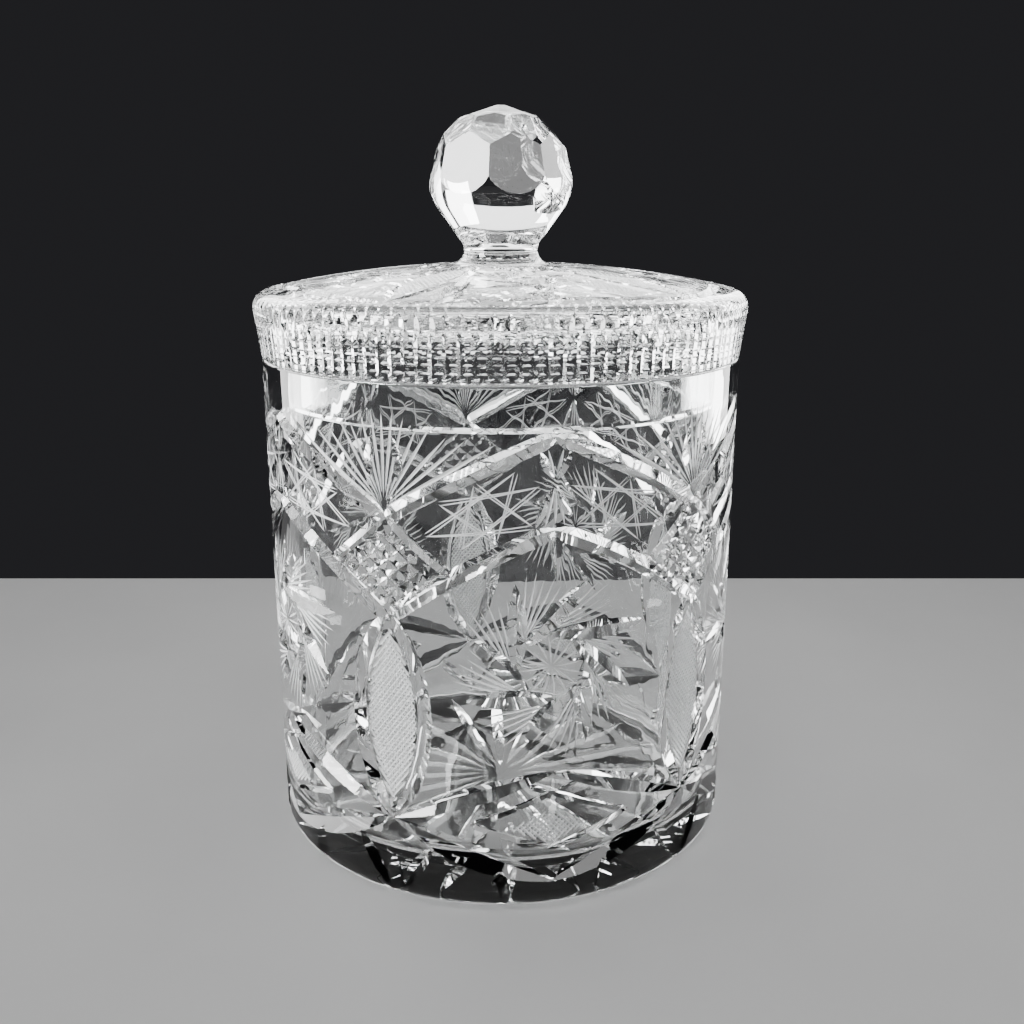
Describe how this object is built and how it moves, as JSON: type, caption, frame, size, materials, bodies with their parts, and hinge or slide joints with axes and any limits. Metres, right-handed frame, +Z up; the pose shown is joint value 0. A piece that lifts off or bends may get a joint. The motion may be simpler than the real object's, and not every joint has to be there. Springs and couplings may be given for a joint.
{
  "type": "powder jar",
  "caption": "Round cut-crystal powder jar with a straight wall, a thick floor and a lift-off lid with a faceted ball knob.",
  "frame": {"origin": "centre of the jar's foot, on the surface it stands on", "axes": "+Z up along the jar's axis, towards the knob"},
  "size_m": [0.1434, 0.1434, 0.2131],
  "materials": {
    "jar_crystal": "polished",
    "lid_crystal": "polished"
  },
  "bodies": {
    "jar": {"jar": "jar_crystal"},
    "lid": {"lid": "lid_crystal"}
  },
  "joints": [
    {"name": "lid_lift", "type": "slide", "parent": "jar", "child": "lid", "axis": [0, 0, 1], "range_m": [0, 0.15]}
  ]
}
